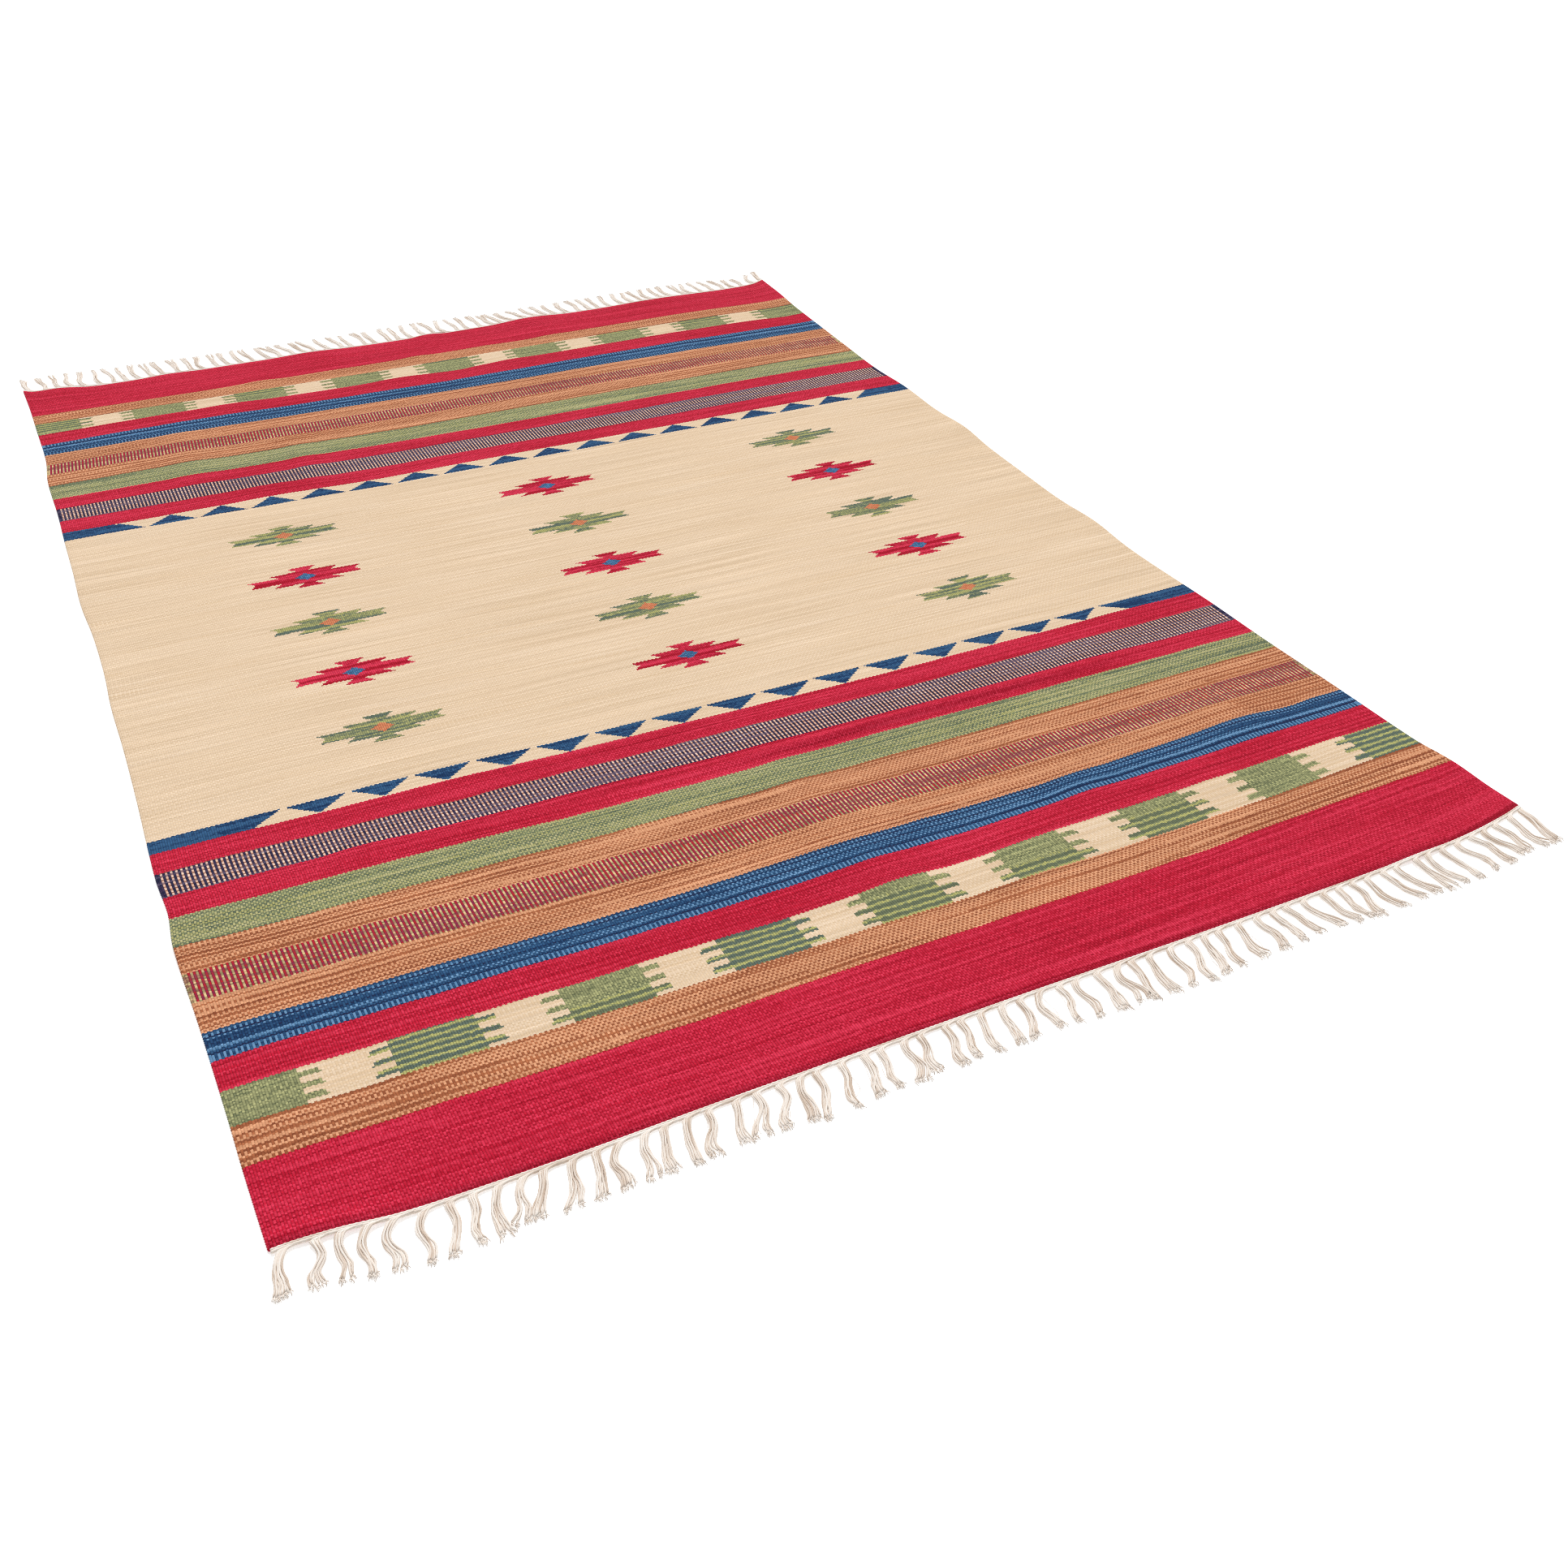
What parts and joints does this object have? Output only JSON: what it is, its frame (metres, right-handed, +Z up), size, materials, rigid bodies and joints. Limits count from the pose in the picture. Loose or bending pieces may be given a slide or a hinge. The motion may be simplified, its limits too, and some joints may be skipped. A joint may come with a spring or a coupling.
{
  "type": "kilim rug",
  "caption": "Flat-woven cotton rug with banded ends, stepped star motifs and an off-white knotted fringe, lying flat on the floor.",
  "frame": {"origin": "middle of the rug's box, fringe and all, on the floor under it", "axes": "+X across the rug, +Y along its warp threads towards the far end, +Z up out of the face"},
  "size_m": [1.7182, 2.5508, 0.0078],
  "materials": {
    "woven_cotton": "weft-faced plain weave of dyed cotton, matt, in bands of red, tan, green, blue and cream",
    "fringe_yarn": "undyed plied cotton yarn, matt off-white"
  },
  "bodies": {
    "root": {"rug_cloth": "woven_cotton", "fringe_near": "fringe_yarn", "fringe_far": "fringe_yarn"}
  },
  "joints": []
}
